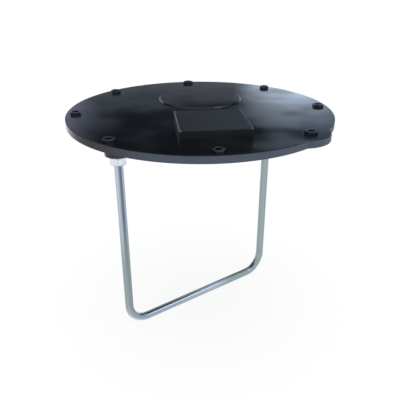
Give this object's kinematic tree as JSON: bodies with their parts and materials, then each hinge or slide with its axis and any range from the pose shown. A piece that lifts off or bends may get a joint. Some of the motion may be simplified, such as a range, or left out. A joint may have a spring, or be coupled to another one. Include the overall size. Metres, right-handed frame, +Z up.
{
  "type": "tank manway cover",
  "caption": "Round moulded cover for a tank's manway, with hexagonal closing bushes round the rim, a seal ring below and a U-shaped steel bail bolted under it.",
  "frame": {"origin": "centre of the closing holes' circle, level with the rim's seating face", "axes": "+Z up out of the tank along the plate's axis, +X to the right and +Y to the back as seen from the side the block is on"},
  "size_m": [0.4, 0.4, 0.356],
  "materials": {
    "moulded_plate": "satin black moulded polyethylene",
    "block_plastic": "matt black moulded plastic",
    "bush_plastic": "black glass-filled nylon",
    "seal_rubber": "matt black EPDM rubber",
    "zinc_rod": "zinc-plated drawn steel bar",
    "zinc_nut": "zinc-plated steel",
    "zinc_washer": "zinc-plated stamped steel",
    "zinc_screw": "zinc-plated steel",
    "brass_insert": "turned brass"
  },
  "bodies": {
    "cover": {"cover_plate": "moulded_plate", "rim_gasket": "seal_rubber", "top_block": "block_plastic", "block_screws": "zinc_screw", "bail_rod": "zinc_rod", "bail_insert_left": "brass_insert", "bail_insert_right": "brass_insert", "bail_washer_left": "zinc_washer", "bail_washer_right": "zinc_washer", "hex_bush_right": "bush_plastic", "hex_bush_back_right": "bush_plastic", "hex_bush_back": "bush_plastic", "hex_bush_back_left": "bush_plastic", "hex_bush_left": "bush_plastic", "hex_bush_front_left": "bush_plastic", "hex_bush_front": "bush_plastic", "hex_bush_front_right": "bush_plastic"},
    "left_nut": {"lock_nut_left": "zinc_nut"},
    "right_nut": {"lock_nut_right": "zinc_nut"}
  },
  "joints": [
    {"name": "left_nut_turn", "type": "hinge", "parent": "cover", "child": "left_nut", "pos_m": [-0.12471, -0.06998, -0.0388], "axis": [0, 0, 1], "continuous": true},
    {"name": "right_nut_turn", "type": "hinge", "parent": "cover", "child": "right_nut", "pos_m": [0.12471, 0.06998, -0.0388], "axis": [0, 0, 1], "continuous": true}
  ]
}
